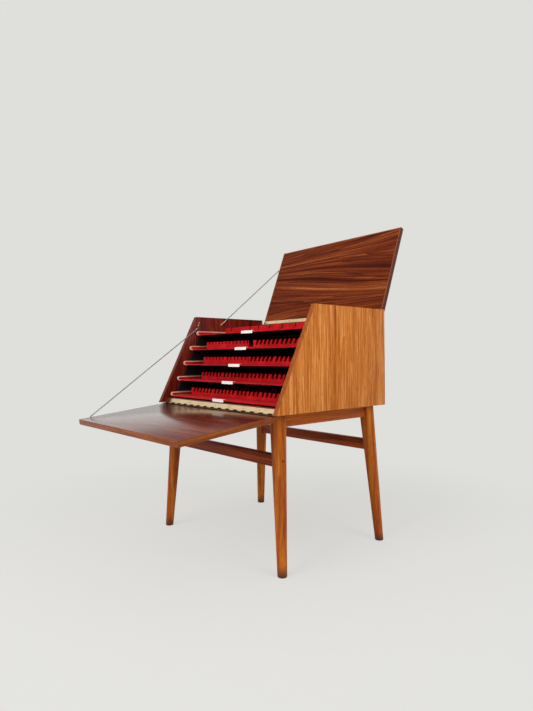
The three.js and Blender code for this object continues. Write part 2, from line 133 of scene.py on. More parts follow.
def rod(bm, start, end, radius, sides, cuts=0):
    """Adds a closed round rod from start to end to a bmesh, with rings of vertices along it."""
    along = end - start
    place = Matrix.Translation((start + end) / 2) @ along.to_track_quat("Z", "Y").to_matrix().to_4x4()
    made = bmesh.ops.create_cone(
        bm, cap_ends=True, cap_tris=False, segments=sides,
        radius1=radius, radius2=radius, depth=along.length, matrix=place,
    )
    edges = {edge for vert in made["verts"] for edge in vert.link_edges}
    long_edges = [edge for edge in edges if edge.calc_length() > along.length * 0.9]
    if cuts:
        bmesh.ops.subdivide_edges(bm, edges=long_edges, cuts=cuts, use_grid_fill=True)
    return [edge for edge in edges if edge.is_valid and edge not in long_edges]


def block(bm, middle, size):
    """Adds a box to a bmesh."""
    place = Matrix.Translation(middle) @ Matrix.Diagonal((*size, 1))
    bmesh.ops.create_cube(bm, size=1, matrix=place)


def rounded(piece, name, width):
    """Rounds a piece's sharp edges with a modifier."""
    rounding = piece.modifiers.new(name, "BEVEL")
    rounding.width, rounding.segments = width, 2
    rounding.limit_method, rounding.angle_limit = "ANGLE", math.radians(50)


def points_of(parts):
    """The vertices among the parts that an operator gives back."""
    return [part for part in parts if isinstance(part, bmesh.types.BMVert)]


def all_parts(bm):
    return bm.verts[:] + bm.edges[:] + bm.faces[:]


def soften(bm, edges, radius, segments=3):
    """Rounds the given edges."""
    bmesh.ops.bevel(
        bm, geom=list(edges), offset=radius, affect="EDGES",
        segments=segments, profile=0.5, material=-1,
    )


# Zinc-plated steel: grey, softly bright, with a duller patch here and there from handling.
def steel_finish(name, base, roughness, twist=None):
    made, tree, shader, place = material(name, base, roughness, Metallic=1.0)
    dull = node(tree, "TexNoise", {"Vector": place, "Scale": 1 / 0.02, "Detail": 3.0})
    spread = node(tree, "MapRange", {
        "Value": dull.outputs[0], "From Min": 0.35, "From Max": 0.7,
        "To Min": roughness - 0.1, "To Max": roughness + 0.12,
    })
    tree.links.new(spread.outputs[0], shader.inputs["Roughness"])
    height = dull.outputs[0]
    if twist:
        # The lay of the strands, drawn every 3 mm so that it still shows close by.
        lay = node(tree, "Mapping", {
            "Vector": place, "Rotation": twist, "Scale": (0.003, 0.003, 0.003),
        }, vector_type="TEXTURE")
        strands = node(tree, "TexWave", {
            "Vector": lay.outputs[0], "Scale": 0.32, "Distortion": 0.0,
        }, bands_direction="DIAGONAL")
        height = strands.outputs["Fac"]
    relief(tree, shader, height, 0.08, 0.0001)
    return made


plated_steel = steel_finish("steel, turned and zinc plated", "#9A9C9E", 0.34)
dark_steel = steel_finish("steel ferrule, blackened by crimping", "#4A4644", 0.45)
copper = steel_finish("copper sleeve, drawn and gone pink", "#D8B09C", 0.42)

# Each stay runs from an eye on the case to a far eye on the wing. Its cable starts a gap away from both, runs
# straight between them, and has a sleeve at the case.
wire_radius, stay_gap = 0.0017, 0.0034
sleeve_overlap, far_sleeve, far_overlap, far_sleeve_radius = 0.0012, 0.007, 0.0008, 0.0015
stays = {
    "flap": {
        "eye": Vector((-0.2817, -0.005792, 0.674)), "far_eye": Vector((-0.281, -0.398364, 0.392742)),
        "lead": 0.013, "tail": 0, "cuts": 60,
        "sleeve": 0.007, "sleeve_radius": 0.0015, "sleeve_finish": plated_steel,
    },
    "lid": {
        "eye": Vector((-0.2817, 0.097724, 0.69)), "far_eye": Vector((-0.281, 0.388055, 0.919758)),
        "lead": 0.01, "tail": 0.02, "cuts": 48,
        "sleeve": 0.025, "sleeve_radius": 0.002, "sleeve_finish": copper,
    },
}
for wing, stay in stays.items():
    way = (stay["far_eye"] - stay["eye"]).normalized()
    start, end = stay["eye"] + way * stay_gap, stay["far_eye"] - way * stay_gap
    lay_turn = way.to_track_quat("Z", "Y").to_euler()
    cable_finish = steel_finish(f"steel cable, laid, {wing} stay", "#8E8E8A", 0.55, lay_turn)
    bm = bmesh.new()
    rod(bm, start, end, wire_radius, 10, stay["cuts"])
    cable = make(f"{wing}_stay_cable", bm, [cable_finish], flat_from=1)
    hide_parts(f"{wing}_stay_wire")
    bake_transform(cable)
    for place_name, first, last, radius, finish in (
        ("case", start - way * sleeve_overlap, start + way * stay["sleeve"],
         stay["sleeve_radius"], stay["sleeve_finish"]),
        (wing, end - way * far_sleeve, end + way * far_overlap, far_sleeve_radius, dark_steel),
    ):
        bm = bmesh.new()
        soften(bm, rod(bm, first, last, radius, 16, 5), 0.0003)
        sleeve = make(f"{wing}_stay_sleeve_at_{place_name}", bm, [finish], flat_from=1)
        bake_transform(sleeve)


# Studs and eyes: a turned steel stud is screwed to the case or wing, with the cable's eye round its
# neck. The stud's outline is spun round its axis, which stands square to the wood.
def wing_frame(axis_y, axis_z, degrees):
    """The frame of a hinged board: X along the hinge, Y from the hinge to the free edge."""
    return Matrix.Translation((0, axis_y, axis_z)) @ Matrix.Rotation(math.radians(degrees), 4, "X")


flap_axis, lid_axis = (-0.133763, 0.42), (0.305724, 0.699)
flap_frame = wing_frame(*flap_axis, 186)
lid_frame = wing_frame(*lid_axis, 69)
case_side = Matrix.Rotation(math.radians(90), 4, "Y")
turned_over = Matrix.Rotation(math.pi, 4, "X")
case_face_x, wing_stud_x, wing_stud_z = -0.2837, -0.281, 0.0012
flap_eye, lid_eye = stays["flap"]["eye"], stays["lid"]["eye"]
stud_plate, stud_head, neck_radius, head_radius = 0.0006, 0.0007, 0.0013, 0.002
eye_radius, eye_section = 0.0021, 0.0007
for name, node_name, frame_of_stud, neck, body in (
    ("flap_stay_stud_on_case", "flap_stay_case_stud",
     Matrix.Translation((case_face_x, flap_eye.y, flap_eye.z)) @ case_side, 0.0028, "case"),
    ("lid_stay_stud_on_case", "lid_stay_case_stud",
     Matrix.Translation((case_face_x, lid_eye.y, lid_eye.z)) @ case_side, 0.0028, "case"),
    ("flap_stay_stud_on_flap", "flap_stay_flap_stud",
     flap_frame @ Matrix.Translation((wing_stud_x, 0.266, wing_stud_z)) @ turned_over, 0.0023, "flap"),
    ("lid_stay_stud_on_lid", "lid_stay_lid_stud",
     lid_frame @ Matrix.Translation((wing_stud_x, 0.2356, -wing_stud_z)), 0.0057, "lid"),
):
    bm = bmesh.new()
    top = stud_plate + neck + stud_head
    outline = [
        (0, 0), (head_radius, 0), (head_radius, stud_plate), (neck_radius, stud_plate),
        (neck_radius, top - stud_head), (head_radius, top - stud_head),
        (head_radius, top - stud_head / 3), (head_radius * 0.7, top), (0, top),
    ]
    verts = [bm.verts.new((radius, 0, height)) for radius, height in outline]
    edges = [bm.edges.new(pair) for pair in zip(verts, verts[1:])]
    bmesh.ops.spin(
        bm, geom=verts + edges, cent=(0, 0, 0), axis=(0, 0, 1),
        angle=2 * math.pi, steps=20, use_merge=True,
    )
    bmesh.ops.remove_doubles(bm, verts=bm.verts, dist=0.00001)
    ring_place = Matrix.Translation((eye_radius, 0, stud_plate + neck / 2))
    ring_place = ring_place @ Matrix.Rotation(math.pi / 2, 4, "X")
    ring = bmesh.ops.create_circle(bm, segments=10, radius=eye_section, matrix=ring_place)["verts"]
    ring_edges = {edge for vert in ring for edge in vert.link_edges}
    bmesh.ops.spin(
        bm, geom=ring + list(ring_edges), cent=(0, 0, 0), axis=(0, 0, 1),
        angle=2 * math.pi, steps=20, use_merge=True,
    )
    bmesh.ops.recalc_face_normals(bm, faces=bm.faces)
    bmesh.ops.transform(bm, matrix=frame_of_stud, verts=bm.verts)
    stud = make(name, bm, [plated_steel], flat_from=1)
    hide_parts(node_name)
    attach(stud, body)


# The stand's four legs are turned and planed from solid teak: square with rounded corners under the
# case, drawn down to a nearly round foot, and splayed outwards.
grain_along = {"X": Euler((0, 0, 0)), "Y": Euler((0, 0, math.pi / 2)), "Z": Euler((0, -math.pi / 2, 0))}


def wood(
    name, grain, stops, streak, broad, sway, roughness, rings=0.0, coat=0.0, pores=0.35,
    weights=(0.5, 0.38), gloss=0.16, figure=None,
):
    """Wood with its fibres along a direction. Streak and broad are the length and width of the fine
    and wide bands; sway is how far, and over what length, the fibres wander; rings counts growth lines.
    Figure is where a board's figure starts and how wide it is across the fibres, how much its lines
    fan out and lean, and the light and dark bands across it."""
    made, tree, shader, place = material(
        name, stops[len(stops) // 2][1], roughness,
        Specular_IOR_Level=gloss, Coat_Weight=coat, Coat_Roughness=0.16,
    )
    laid = node(tree, "Mapping", {"Vector": place, "Rotation": grain}, vector_type="TEXTURE").outputs[0]
    if figure:
        start, width, fan, lean, bands = figure
        parts = node(tree, "SeparateXYZ", {0: laid})
        across = node(tree, "MapRange", {
            "Value": parts.outputs["Y"], "From Min": start, "From Max": start + width, "To Max": 2 * math.pi,
        }, clamp=False)
        swing = node(tree, "Math", {0: across.outputs[0]}, operation="COSINE")
        slope = node(tree, "Math", {0: swing.outputs[0], 1: fan, 2: lean}, operation="MULTIPLY_ADD")
        rise = node(tree, "Math", {0: slope.outputs[0], 1: parts.outputs["X"]}, operation="MULTIPLY")
        shift = node(tree, "CombineXYZ", {"Y": rise.outputs[0]}).outputs[0]
        laid = node(tree, "VectorMath", {0: laid, 1: shift}, operation="SUBTRACT").outputs[0]
    wander = node(tree, "TexNoise", {"Vector": laid, "Scale": 1 / sway[1], "Detail": 1.0})
    bent = node(tree, "VectorMath", {
        0: wander.outputs["Color"], 1: (0, sway[0], sway[0]), 2: laid,
    }, operation="MULTIPLY_ADD").outputs[0]
    patterns = []
    # The pores are drawn 1.4 mm wide, coarser than real ones, so that they show from a step away.
    pore_length, pore_width = 0.022, 0.0014
    for length, width, detail in ((*broad, 2.0), (*streak, 5.0), (pore_length, pore_width, 2.0)):
        sized = node(tree, "Mapping", {
            "Vector": bent, "Scale": (length, width, width),
        }, vector_type="TEXTURE")
        patterns.append(node(tree, "TexNoise", {
            "Vector": sized.outputs[0], "Scale": 1.0, "Detail": detail, "Roughness": 0.6,
        }).outputs[0])
    growth = node(tree, "Math", {0: patterns[0], 1: rings}, operation="MULTIPLY")
    growth = node(tree, "Math", {0: growth.outputs[0]}, operation="FRACT")
    total = node(tree, "Math", {0: growth.outputs[0], 1: 1 - sum(weights)}, operation="MULTIPLY").outputs[0]
    for pattern, weight in zip(patterns, weights):
        total = node(tree, "Math", {0: pattern, 1: weight, 2: total}, operation="MULTIPLY_ADD").outputs[0]
    if figure:
        height = node(tree, "SeparateXYZ", {0: bent}).outputs["Y"]
        share = node(tree, "MapRange", {
            "Value": height, "From Min": start, "From Max": start + width,
        }).outputs[0]
        band = node(tree, "ValToRGB", {"Fac": share}, stops=bands).outputs["Color"]
        total = node(tree, "Math", {0: band, 1: 0.3, 2: total}, operation="MULTIPLY_ADD").outputs[0]
        total = node(tree, "Math", {0: total, 1: 0.15}, operation="SUBTRACT").outputs[0]
    spread = node(tree, "MapRange", {"Value": total, "From Min": 0.34, "From Max": 0.66}).outputs[0]
    tint = node(tree, "ValToRGB", {"Fac": spread}, stops=stops).outputs["Color"]
    pore = node(tree, "MapRange", {
        "Value": patterns[2], "From Min": 0.36, "From Max": 0.5, "To Min": pores, "To Max": 0.0,
    }).outputs[0]
    mixed = node(tree, "Mix", {
        0: pore, 6: tint, 7: colour("#5A3A28"),
    }, data_type="RGBA", blend_type="MULTIPLY")
    tree.links.new(mixed.outputs[2], shader.inputs["Base Color"])
    sheen = node(tree, "MapRange", {
        "Value": total, "From Min": 0.3, "From Max": 0.7,
        "To Min": roughness + 0.05, "To Max": roughness - 0.05,
    })
    tree.links.new(sheen.outputs[0], shader.inputs["Roughness"])
    relief(tree, shader, patterns[2], 0.12, 0.0002)
    return made


# Oiled solid teak, planed: warm orange-brown with long dark streaks along each leg and a soft sheen.
leg_teak = wood(
    "teak, solid, planed and oiled, grain upright", grain_along["Z"],
    ((0, "#803404"), (0.35, "#9C4A06"), (0.65, "#AE5A0C"), (1, "#C27622")),
    streak=(0.16, 0.004), broad=(0.5, 0.016), sway=(0.006, 0.2), roughness=0.42, rings=3,
)
# The legs' colour turns darker over the feet's lowest two centimetres.
tree = leg_teak.node_tree
shader = tree.nodes["Principled BSDF"]
height = node(tree, "SeparateXYZ", {0: node(tree, "TexCoord", {}).outputs["Object"]}).outputs["Z"]
foot_darkening = node(tree, "MapRange", {
    "Value": height, "From Min": 0.006, "From Max": 0.03, "To Min": 0.85, "To Max": 0.0,
})
grained = shader.inputs["Base Color"].links[0].from_socket
darker_feet = node(tree, "Mix", {0: foot_darkening.outputs[0], 6: grained, 7: colour("#4A2A18")}, data_type="RGBA")
tree.links.new(darker_feet.outputs[2], shader.inputs["Base Color"])
peg_end = wood(
    "teak peg, sawn end grain", grain_along["X"],
    ((0, "#4A2008"), (0.5, "#66320C"), (1, "#7C4414")),
    streak=(0.01, 0.0015), broad=(0.02, 0.004), sway=(0.001, 0.05), roughness=0.6,
)
leg_top_half, leg_top_round, leg_foot_radius, leg_height = 0.0175, 0.0055, 0.01275, 0.4197
leg_foot_x, leg_top_x, leg_rim = 0.2843, 0.252, 0.0012
peg_height, peg_radius, peg_depth, peg_proud, peg_ease = 0.297, 0.0035, 0.004, 0.0003, 0.0003
for name, side, top_y, foot_y in (
    ("leg_front_left", -1, -0.105276, -0.123076), ("leg_front_right", 1, -0.105276, -0.123076),
    ("leg_rear_left", -1, 0.267724, 0.287424), ("leg_rear_right", 1, 0.267724, 0.287424),
):
    bm = bmesh.new()
    width = 2 * leg_top_half
    block(bm, (0, 0, leg_height / 2), (width, width, leg_height))
    soften(bm, [edge for edge in bm.edges if edge.calc_length() > leg_height / 2], leg_top_round, 5)
    for direction, places in (((0, 0, 1), range(1, 8)), ((1, 0, 0), range(-1, 2)), ((0, 1, 0), range(-1, 2))):
        step = leg_height / 8 if direction[2] else leg_top_half / 3
        for i in places:
            bmesh.ops.bisect_plane(
                bm, geom=all_parts(bm),
                plane_co=Vector(direction) * step * i, plane_no=direction, dist=0.00001,
            )
    for vert in bm.verts:
        share = vert.co.z / leg_height
        reach = math.hypot(vert.co.x, vert.co.y)
        if reach > leg_top_half * 0.8:
            size = leg_foot_radius + (reach - leg_foot_radius) * share
            vert.co.x *= size / reach
            vert.co.y *= size / reach
        else:
            vert.co.x *= leg_foot_radius / leg_top_half * (1 - share) + share
            vert.co.y *= leg_foot_radius / leg_top_half * (1 - share) + share
        vert.co.x += side * (leg_foot_x + (leg_top_x - leg_foot_x) * share)
        vert.co.y += foot_y + (top_y - foot_y) * share
    rim = [
        edge for edge in bm.edges
        if edge.calc_face_angle(0) > 1 and edge.verts[0].co.z + edge.verts[1].co.z < 0.001
    ]
    soften(bm, rim, leg_rim, 2)
    leg = make(f"{name}_teak", bm, [leg_teak], flat_from=1)
    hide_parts(name)
    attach(leg, "case")
    # A peg through each leg pins the stretcher's tenon; its end shows on the leg's outer side.
    share = peg_height / leg_height
    face_x = side * (
        leg_foot_x + (leg_top_x - leg_foot_x) * share
        + leg_foot_radius + (leg_top_half - leg_foot_radius) * share
    )
    peg_y = foot_y + (top_y - foot_y) * share
    inner_end = Vector((face_x - side * peg_depth, peg_y, peg_height))
    outer_end = Vector((face_x + side * peg_proud, peg_y, peg_height))
    bm = bmesh.new()
    ends = rod(bm, inner_end, outer_end, peg_radius, 20)
    soften(bm, ends, peg_ease, 2)
    peg = make(f"{name}_peg", bm, [peg_end], flat_from=1)
    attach(peg, "case")


# Aprons join front and rear legs close under the case, and stretchers join left and right legs
# lower down. They are plain planed teak boards with eased arrises, tenoned into the legs.
def board(low, high, arris=0.0, segments=3):
    """A board between two corners, with rounded arrises."""
    bm = bmesh.new()
    low, high = Vector(low), Vector(high)
    block(bm, (low + high) / 2, high - low)
    if arris:
        soften(bm, bm.edges, arris, segments)
    return bm


apron_teak = wood(
    "teak, solid, planed and oiled, grain front to back", grain_along["Y"],
    ((0, "#84360A"), (0.35, "#A24C0E"), (0.65, "#B65C14"), (1, "#CA7424")),
    streak=(0.16, 0.004), broad=(0.5, 0.014), sway=(0.004, 0.2), roughness=0.42, rings=3,
)
# The stretchers are coloured darker than the aprons, for dust and for painted shade, as they stand low under
# the case.
stretcher_teak = wood(
    "teak, dust and painted shade, planed and oiled", grain_along["X"],
    ((0, "#601C02"), (0.35, "#7C2E04"), (0.65, "#923A08"), (1, "#A64C14")),
    streak=(0.18, 0.004), broad=(0.5, 0.014), sway=(0.004, 0.2), roughness=0.46, rings=3,
)
# The dressed legs are a little stouter than the plain solids, so the bars between them are shorter.
shorter, lower_foot, lower_head, bar_arris = 0.0022, 0.001, 0.0025, 0.002
for name, finish, slot, shorten, lower in (
    ("apron_left", apron_teak, "leg_wood", (0, shorter), False),
    ("apron_right", apron_teak, "leg_wood", (0, shorter), False),
    ("stretcher_front", stretcher_teak, "stretcher_wood", (shorter, 0), True),
    ("stretcher_rear", stretcher_teak, "stretcher_wood", (shorter, 0), True),
):
    low, high = (Vector(corner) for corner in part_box(name))
    low += Vector((*shorten, -lower_foot * lower))
    high -= Vector((*shorten, lower_head * lower))
    bar = make(f"{name}_teak", board(low, high, bar_arris), [finish])
    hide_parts(name)
    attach(bar, "case")


# The case's sides are boards veneered with teak outside, its figure upright, and with dark
# rosewood inside. Their sloping fronts and other edges are lipped with solid wood.
# Oiled teak veneer, sliced: golden brown, with streaks a few millimetres wide along the grain.
def teak_veneer(name, grain):
    return wood(
        name, grain, ((0, "#864006"), (0.3, "#AC5C12"), (0.62, "#C67730"), (1, "#E0A05E")),
        streak=(0.16, 0.0042), broad=(0.5, 0.03), sway=(0.006, 0.2), roughness=0.4,
        rings=4, weights=(0.3, 0.62),
    )


outer_teak = teak_veneer("teak veneer, sliced and oiled, upright", grain_along["Z"])
# Rosewood veneer, its polish gone dull: dark red-brown with only a faint sheen.
inner_rosewood = wood(
    "rosewood veneer, polished, upright", grain_along["Z"],
    ((0, "#3C0A08"), (0.4, "#5C140E"), (0.7, "#742414"), (1, "#8E3A1E")),
    streak=(0.2, 0.006), broad=(0.5, 0.03), sway=(0.01, 0.2), roughness=0.36, rings=4, coat=0.04, gloss=0.08,
)
# The lipping is solid teak, redder than the veneer. The strip on the left is coloured darker as painted
# shade, since it faces away from the right lamp.
lipping_teaks = {side: wood(
    name, grain_along["Z"], stops,
    streak=(0.12, 0.0035), broad=(0.4, 0.012), sway=(0.003, 0.2), roughness=0.4, rings=2,
) for side, name, stops in (
    (-1, "teak lipping, painted shade, oiled",
     ((0, "#461606"), (0.4, "#602408"), (0.7, "#742E0C"), (1, "#883E16"))),
    (1, "teak lipping, planed and oiled",
     ((0, "#74300A"), (0.4, "#90460F"), (0.7, "#A45418"), (1, "#B86824"))),
)}
slope_foot, slope_head = Vector((0, -0.153276, 0.42)), Vector((0, -0.007276, 0.716))
slope_out = Vector((0, slope_foot.z - slope_head.z, slope_head.y - slope_foot.y)).normalized()
arris = 0.0008
for name, side in (("side_panel_left", -1), ("side_panel_right", 1)):
    bm = board(*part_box(name))
    bmesh.ops.bisect_plane(
        bm, geom=all_parts(bm), dist=0.00001,
        plane_co=slope_foot, plane_no=slope_out, clear_outer=True,
    )
    bmesh.ops.holes_fill(bm, edges=bm.edges, sides=8)
    bmesh.ops.recalc_face_normals(bm, faces=bm.faces)
    soften(bm, bm.edges, arris)
    for face in bm.faces:
        facing = face.normal.x * side
        face.material_index = 0 if facing > 0.9 else 1 if facing < -0.9 else 2
    panel = make(f"{name}_veneered", bm, [outer_teak, inner_rosewood, lipping_teaks[side]])
    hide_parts(name)
    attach(panel, "case")


# The back panel is let in between the sides, veneered outside like them and black inside, as painted shade
# for the case's dark depths.
# The bottom panel is rosewood and the two liners are black; all keep the shapes of the frame.
# Matt black over board: a stain on the liners, and painted shade inside the back panel and under the trays. A
# trace of brush marks keeps it from looking like a hole.
def matt_black(name, roughness):
    made, tree, shader, place = material(name, "#101212", roughness, Specular_IOR_Level=0.2)
    brushed = node(tree, "Mapping", {"Vector": place, "Scale": (0.002, 0.12, 0.002)}, vector_type="TEXTURE")
    marks = node(tree, "TexNoise", {"Vector": brushed.outputs[0], "Scale": 1.0, "Detail": 3.0})
    tinted(tree, shader, marks.outputs[0], ((0.3, "#0C0E0E"), (0.7, "#161818")))
    relief(tree, shader, marks.outputs[0], 0.3, 0.0002)
    return made


# Black stain for the liners; on the back panel's inner face the same black is painted shade.
black_stain_and_shade = matt_black("black stain on board, and painted shade", 0.7)
back_low, back_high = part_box("back_panel")
bm = board(back_low, back_high, arris)
# The inner face takes the black as painted shade.
for face in bm.faces:
    face.material_index = 1 if face.normal.y < -0.9 else 0
back = make("back_panel_veneered", bm, [outer_teak, black_stain_and_shade])
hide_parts("back_panel")
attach(back, "case")
flap_rosewood_side = wood(
    "rosewood veneer, polished, along the front", grain_along["X"],
    ((0, "#380A02"), (0.4, "#561404"), (0.7, "#6C2008"), (1, "#843410")),
    streak=(0.2, 0.005), broad=(0.5, 0.03), sway=(0.01, 0.2), roughness=0.3, rings=4, coat=1.0,
)
# Hands have rubbed the polish thinner towards the right end, so the wood shows redder there.
tree = flap_rosewood_side.node_tree
across = node(tree, "SeparateXYZ", {0: node(tree, "TexCoord", {}).outputs["Object"]}).outputs["X"]
rubbed = node(tree, "MapRange", {
    "Value": across, "From Min": 0.0, "From Max": 0.26, "To Min": 1.0, "To Max": 0.1,
}, interpolation_type="SMOOTHSTEP")
tree.links.new(rubbed.outputs[0], tree.nodes["Principled BSDF"].inputs["Coat Weight"])
for name, finish in (
    ("bottom_panel", flap_rosewood_side), ("liner_left", black_stain_and_shade), ("liner_right", black_stain_and_shade),
):
    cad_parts[name].data.materials.clear()
    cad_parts[name].data.materials.append(finish)


# The flap is a lipped board: dark polished rosewood on the inner face, on which one writes or lays
# out the cutlery, and the case's teak on the outer face.
wing_half, knuckle_room, leaf_stand = 0.283, 0.00265, 0.0015
flap_end, flap_thickness = 0.302, 0.016
edge_teak = wood(
    "teak lipping, long strip, oiled", grain_along["X"],
    ((0, "#642C10"), (0.4, "#7E401C"), (0.7, "#905026"), (1, "#A46434")),
    streak=(0.16, 0.0035), broad=(0.5, 0.012), sway=(0.003, 0.2), roughness=0.36, rings=2,
)
flap_grain = (flap_frame.to_3x3() @ Matrix.Rotation(math.pi / 2, 3, "Z")).to_euler()
flap_outer_teak = teak_veneer("teak veneer, sliced and oiled, along the flap's height", flap_grain)
side_lipping = wood(
    "teak lipping along the flap's sides, oiled", flap_grain,
    ((0, "#642A08"), (0.4, "#7C3C0E"), (0.7, "#8E4A18"), (1, "#A25C24")),
    streak=(0.14, 0.0035), broad=(0.4, 0.012), sway=(0.003, 0.2), roughness=0.36, rings=2,
)
bm = board((-wing_half, knuckle_room, leaf_stand), (wing_half, flap_end, leaf_stand + flap_thickness), arris)
for face in bm.faces:
    normal = face.normal
    if abs(normal.z) > 0.9:
        face.material_index = 0 if normal.z < 0 else 1
    else:
        face.material_index = 3 if abs(normal.x) > 0.5 else 2
bmesh.ops.transform(bm, matrix=flap_frame, verts=bm.verts)
flap_board = make("flap_veneered", bm, [flap_rosewood_side, flap_outer_teak, edge_teak, side_lipping])
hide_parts("flap_board")
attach(flap_board, "flap")


# The lid is a lipped board too, let in between the sides when it is shut. Its inner face is
# figured rosewood with broad dark bands, inside a lighter solid lipping 3.5 mm wide.
lid_end, lid_setback, lid_thickness, lipping_width = 0.318, 0.003, 0.014, 0.0035
lid_grain = lid_frame.to_euler()
lid_foot = (lid_frame.inverted().to_3x3() @ lid_frame.translation).y
# Oiled rosewood veneer, sliced: red-brown, with paler and darker bands that fan out across it.
lid_rosewood = wood(
    "rosewood veneer, figured, oiled", lid_grain,
    ((0, "#401206"), (0.3, "#62240E"), (0.55, "#7C3616"), (0.8, "#964E24"), (1, "#B0683A")),
    streak=(0.5, 0.0034), broad=(1.0, 0.022), sway=(0.012, 0.4), roughness=0.42,
    rings=4, weights=(0.42, 0.42), gloss=0.05,
    figure=(lid_foot, 0.32, 0.12, -0.02, (
        (0, "#A0A0A0"), (0.12, "#909090"), (0.2, "#505050"), (0.3, "#585858"), (0.42, "#B4B4B4"),
        (0.6, "#B0B0B0"), (0.78, "#D0D0D0"), (0.92, "#808080"), (1, "#A8A8A8"),
    )),
)
lid_lipping = wood(
    "rosewood lipping, solid, oiled", grain_along["X"],
    ((0, "#6A3016"), (0.5, "#8A4A24"), (1, "#A4623A")),
    streak=(0.2, 0.004), broad=(0.5, 0.012), sway=(0.003, 0.2), roughness=0.38, rings=2,
)
lid_edge = wood(
    "rosewood edge, stained", grain_along["X"],
    ((0, "#3A1A10"), (0.5, "#54281A"), (1, "#6C3824")),
    streak=(0.2, 0.004), broad=(0.5, 0.012), sway=(0.003, 0.2), roughness=0.4, rings=2,
)
bm = board((-wing_half, lid_setback, -leaf_stand - lid_thickness), (wing_half, lid_end, -leaf_stand), arris)
inner = [face for face in bm.faces if face.normal.z > 0.99]
for face in bm.faces:
    face.material_index = 1 if face.normal.z < -0.9 else 3
band = bmesh.ops.inset_region(bm, faces=inner, thickness=lipping_width, use_even_offset=True)["faces"]
for face in band:
    face.material_index = 2
inner[0].material_index = 0
bmesh.ops.transform(bm, matrix=lid_frame, verts=bm.verts)
lid_outer_grain = (lid_frame.to_3x3() @ Matrix.Rotation(math.pi / 2, 3, "Z")).to_euler()
lid_outer_teak = teak_veneer("teak veneer, sliced and oiled, along the lid's depth", lid_outer_grain)
lid_board = make("lid_veneered", bm, [lid_rosewood, lid_outer_teak, lid_lipping, lid_edge], flat_from=0.00003)
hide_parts("lid_board")
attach(lid_board, "lid")


# Two piano hinges, rolled from brass strip, run the whole width of flap and lid. Each has two
# leaves with interlocking knuckles on one pin, and is held by countersunk slotted screws.
# Lacquered brass strip: pale yellow, faintly drawn along its length, with duller stains. The flap's leaf is
# given dark brown brass instead, as painted shade for the dark gaps along the knuckle line.
def brass_finish(name, pale, dark, roughness):
    made, tree, shader, place = material(name, pale, roughness, Metallic=1.0)
    drawn = node(tree, "Mapping", {"Vector": place, "Scale": (0.09, 0.0012, 0.0012)}, vector_type="TEXTURE")
    lines = node(tree, "TexNoise", {"Vector": drawn.outputs[0], "Scale": 1.0, "Detail": 2.0})
    stains = node(tree, "TexNoise", {"Vector": place, "Scale": 1 / 0.035, "Detail": 4.0})
    both = node(tree, "Math", {0: lines.outputs[0], 1: 0.4, 2: stains.outputs[0]}, operation="MULTIPLY_ADD")
    tinted(tree, shader, both.outputs[0], ((0.5, dark), (0.72, pale)))
    gloss = node(tree, "MapRange", {
        "Value": stains.outputs[0], "From Min": 0.35, "From Max": 0.65,
        "To Min": roughness + 0.1, "To Max": roughness - 0.06,
    })
    tree.links.new(gloss.outputs[0], shader.inputs["Roughness"])
    relief(tree, shader, lines.outputs[0], 0.2, 0.0001)
    return made


leaf_brass = brass_finish("brass strip, rolled and lacquered", "#F2DCB2", "#DEC08C", 0.26)
dark_shade_brass = brass_finish("brass strip, dark brown as painted shade", "#4A2412", "#30160A", 0.6)
pin_brass = brass_finish("brass, drawn and darkened at the joint", "#B08C4A", "#8A6430", 0.4)
screw_brass = brass_finish("brass screws, turned", "#C0A060", "#8C7038", 0.36)
parting, leaf_thickness, plate_start = 0.0002, 0.001, 0.00255
knuckle_radius, knuckle_wall, knuckle_count, knuckle_gap = 0.0018, 0.0006, 30, 0.0004
neck_lap, neck_length, pin_radius = 0.0003, 0.0012, 0.001
screw_foot_radius, screw_radius, screw_depth = 0.0018, 0.0024, 0.001
screw_sink, slot_half, slot_depth = 0.0004, 0.00035, 0.0004
slope_turn = math.degrees(math.atan2(0.296, 0.146))
flap_seat, lid_seat = wing_frame(*flap_axis, slope_turn), wing_frame(*lid_axis, 180)


def add_screws(bm, centres, face_z, outwards):
    """Adds countersunk heads with a slot, set into a leaf's visible face, to a bmesh."""
    for x, y, turn in centres:
        facing = Matrix.Rotation(0 if outwards > 0 else math.pi, 4, "X")
        place = Matrix.Translation((x, y, face_z)) @ facing
        place = place @ Matrix.Rotation(turn, 4, "Z") @ Matrix.Translation((0, 0, -screw_sink))
        head = bmesh.new()
        bmesh.ops.create_cone(
            head, cap_ends=True, cap_tris=False, segments=20,
            radius1=screw_foot_radius, radius2=screw_radius, depth=screw_depth,
        )
        for near in (-1, 1):
            bmesh.ops.bisect_plane(
                head, geom=all_parts(head), dist=0.00001,
                plane_co=(0, near * slot_half, 0), plane_no=(0, 1, 0),
            )
        slot = [
            face for face in head.faces
            if face.normal.z > 0.9 and abs(face.calc_center_median().y) < slot_half * 0.9
        ]
        dug = bmesh.ops.extrude_face_region(head, geom=slot)["geom"]
        bmesh.ops.delete(head, geom=slot, context="FACES")
        bmesh.ops.translate(head, vec=(0, 0, -slot_depth), verts=points_of(dug))
        bmesh.ops.transform(head, matrix=place, verts=head.verts)
        whole = bpy.data.meshes.new("head")
        head.to_mesh(whole)
        head.free()
        bm.from_mesh(whole)
        bpy.data.meshes.remove(whole)


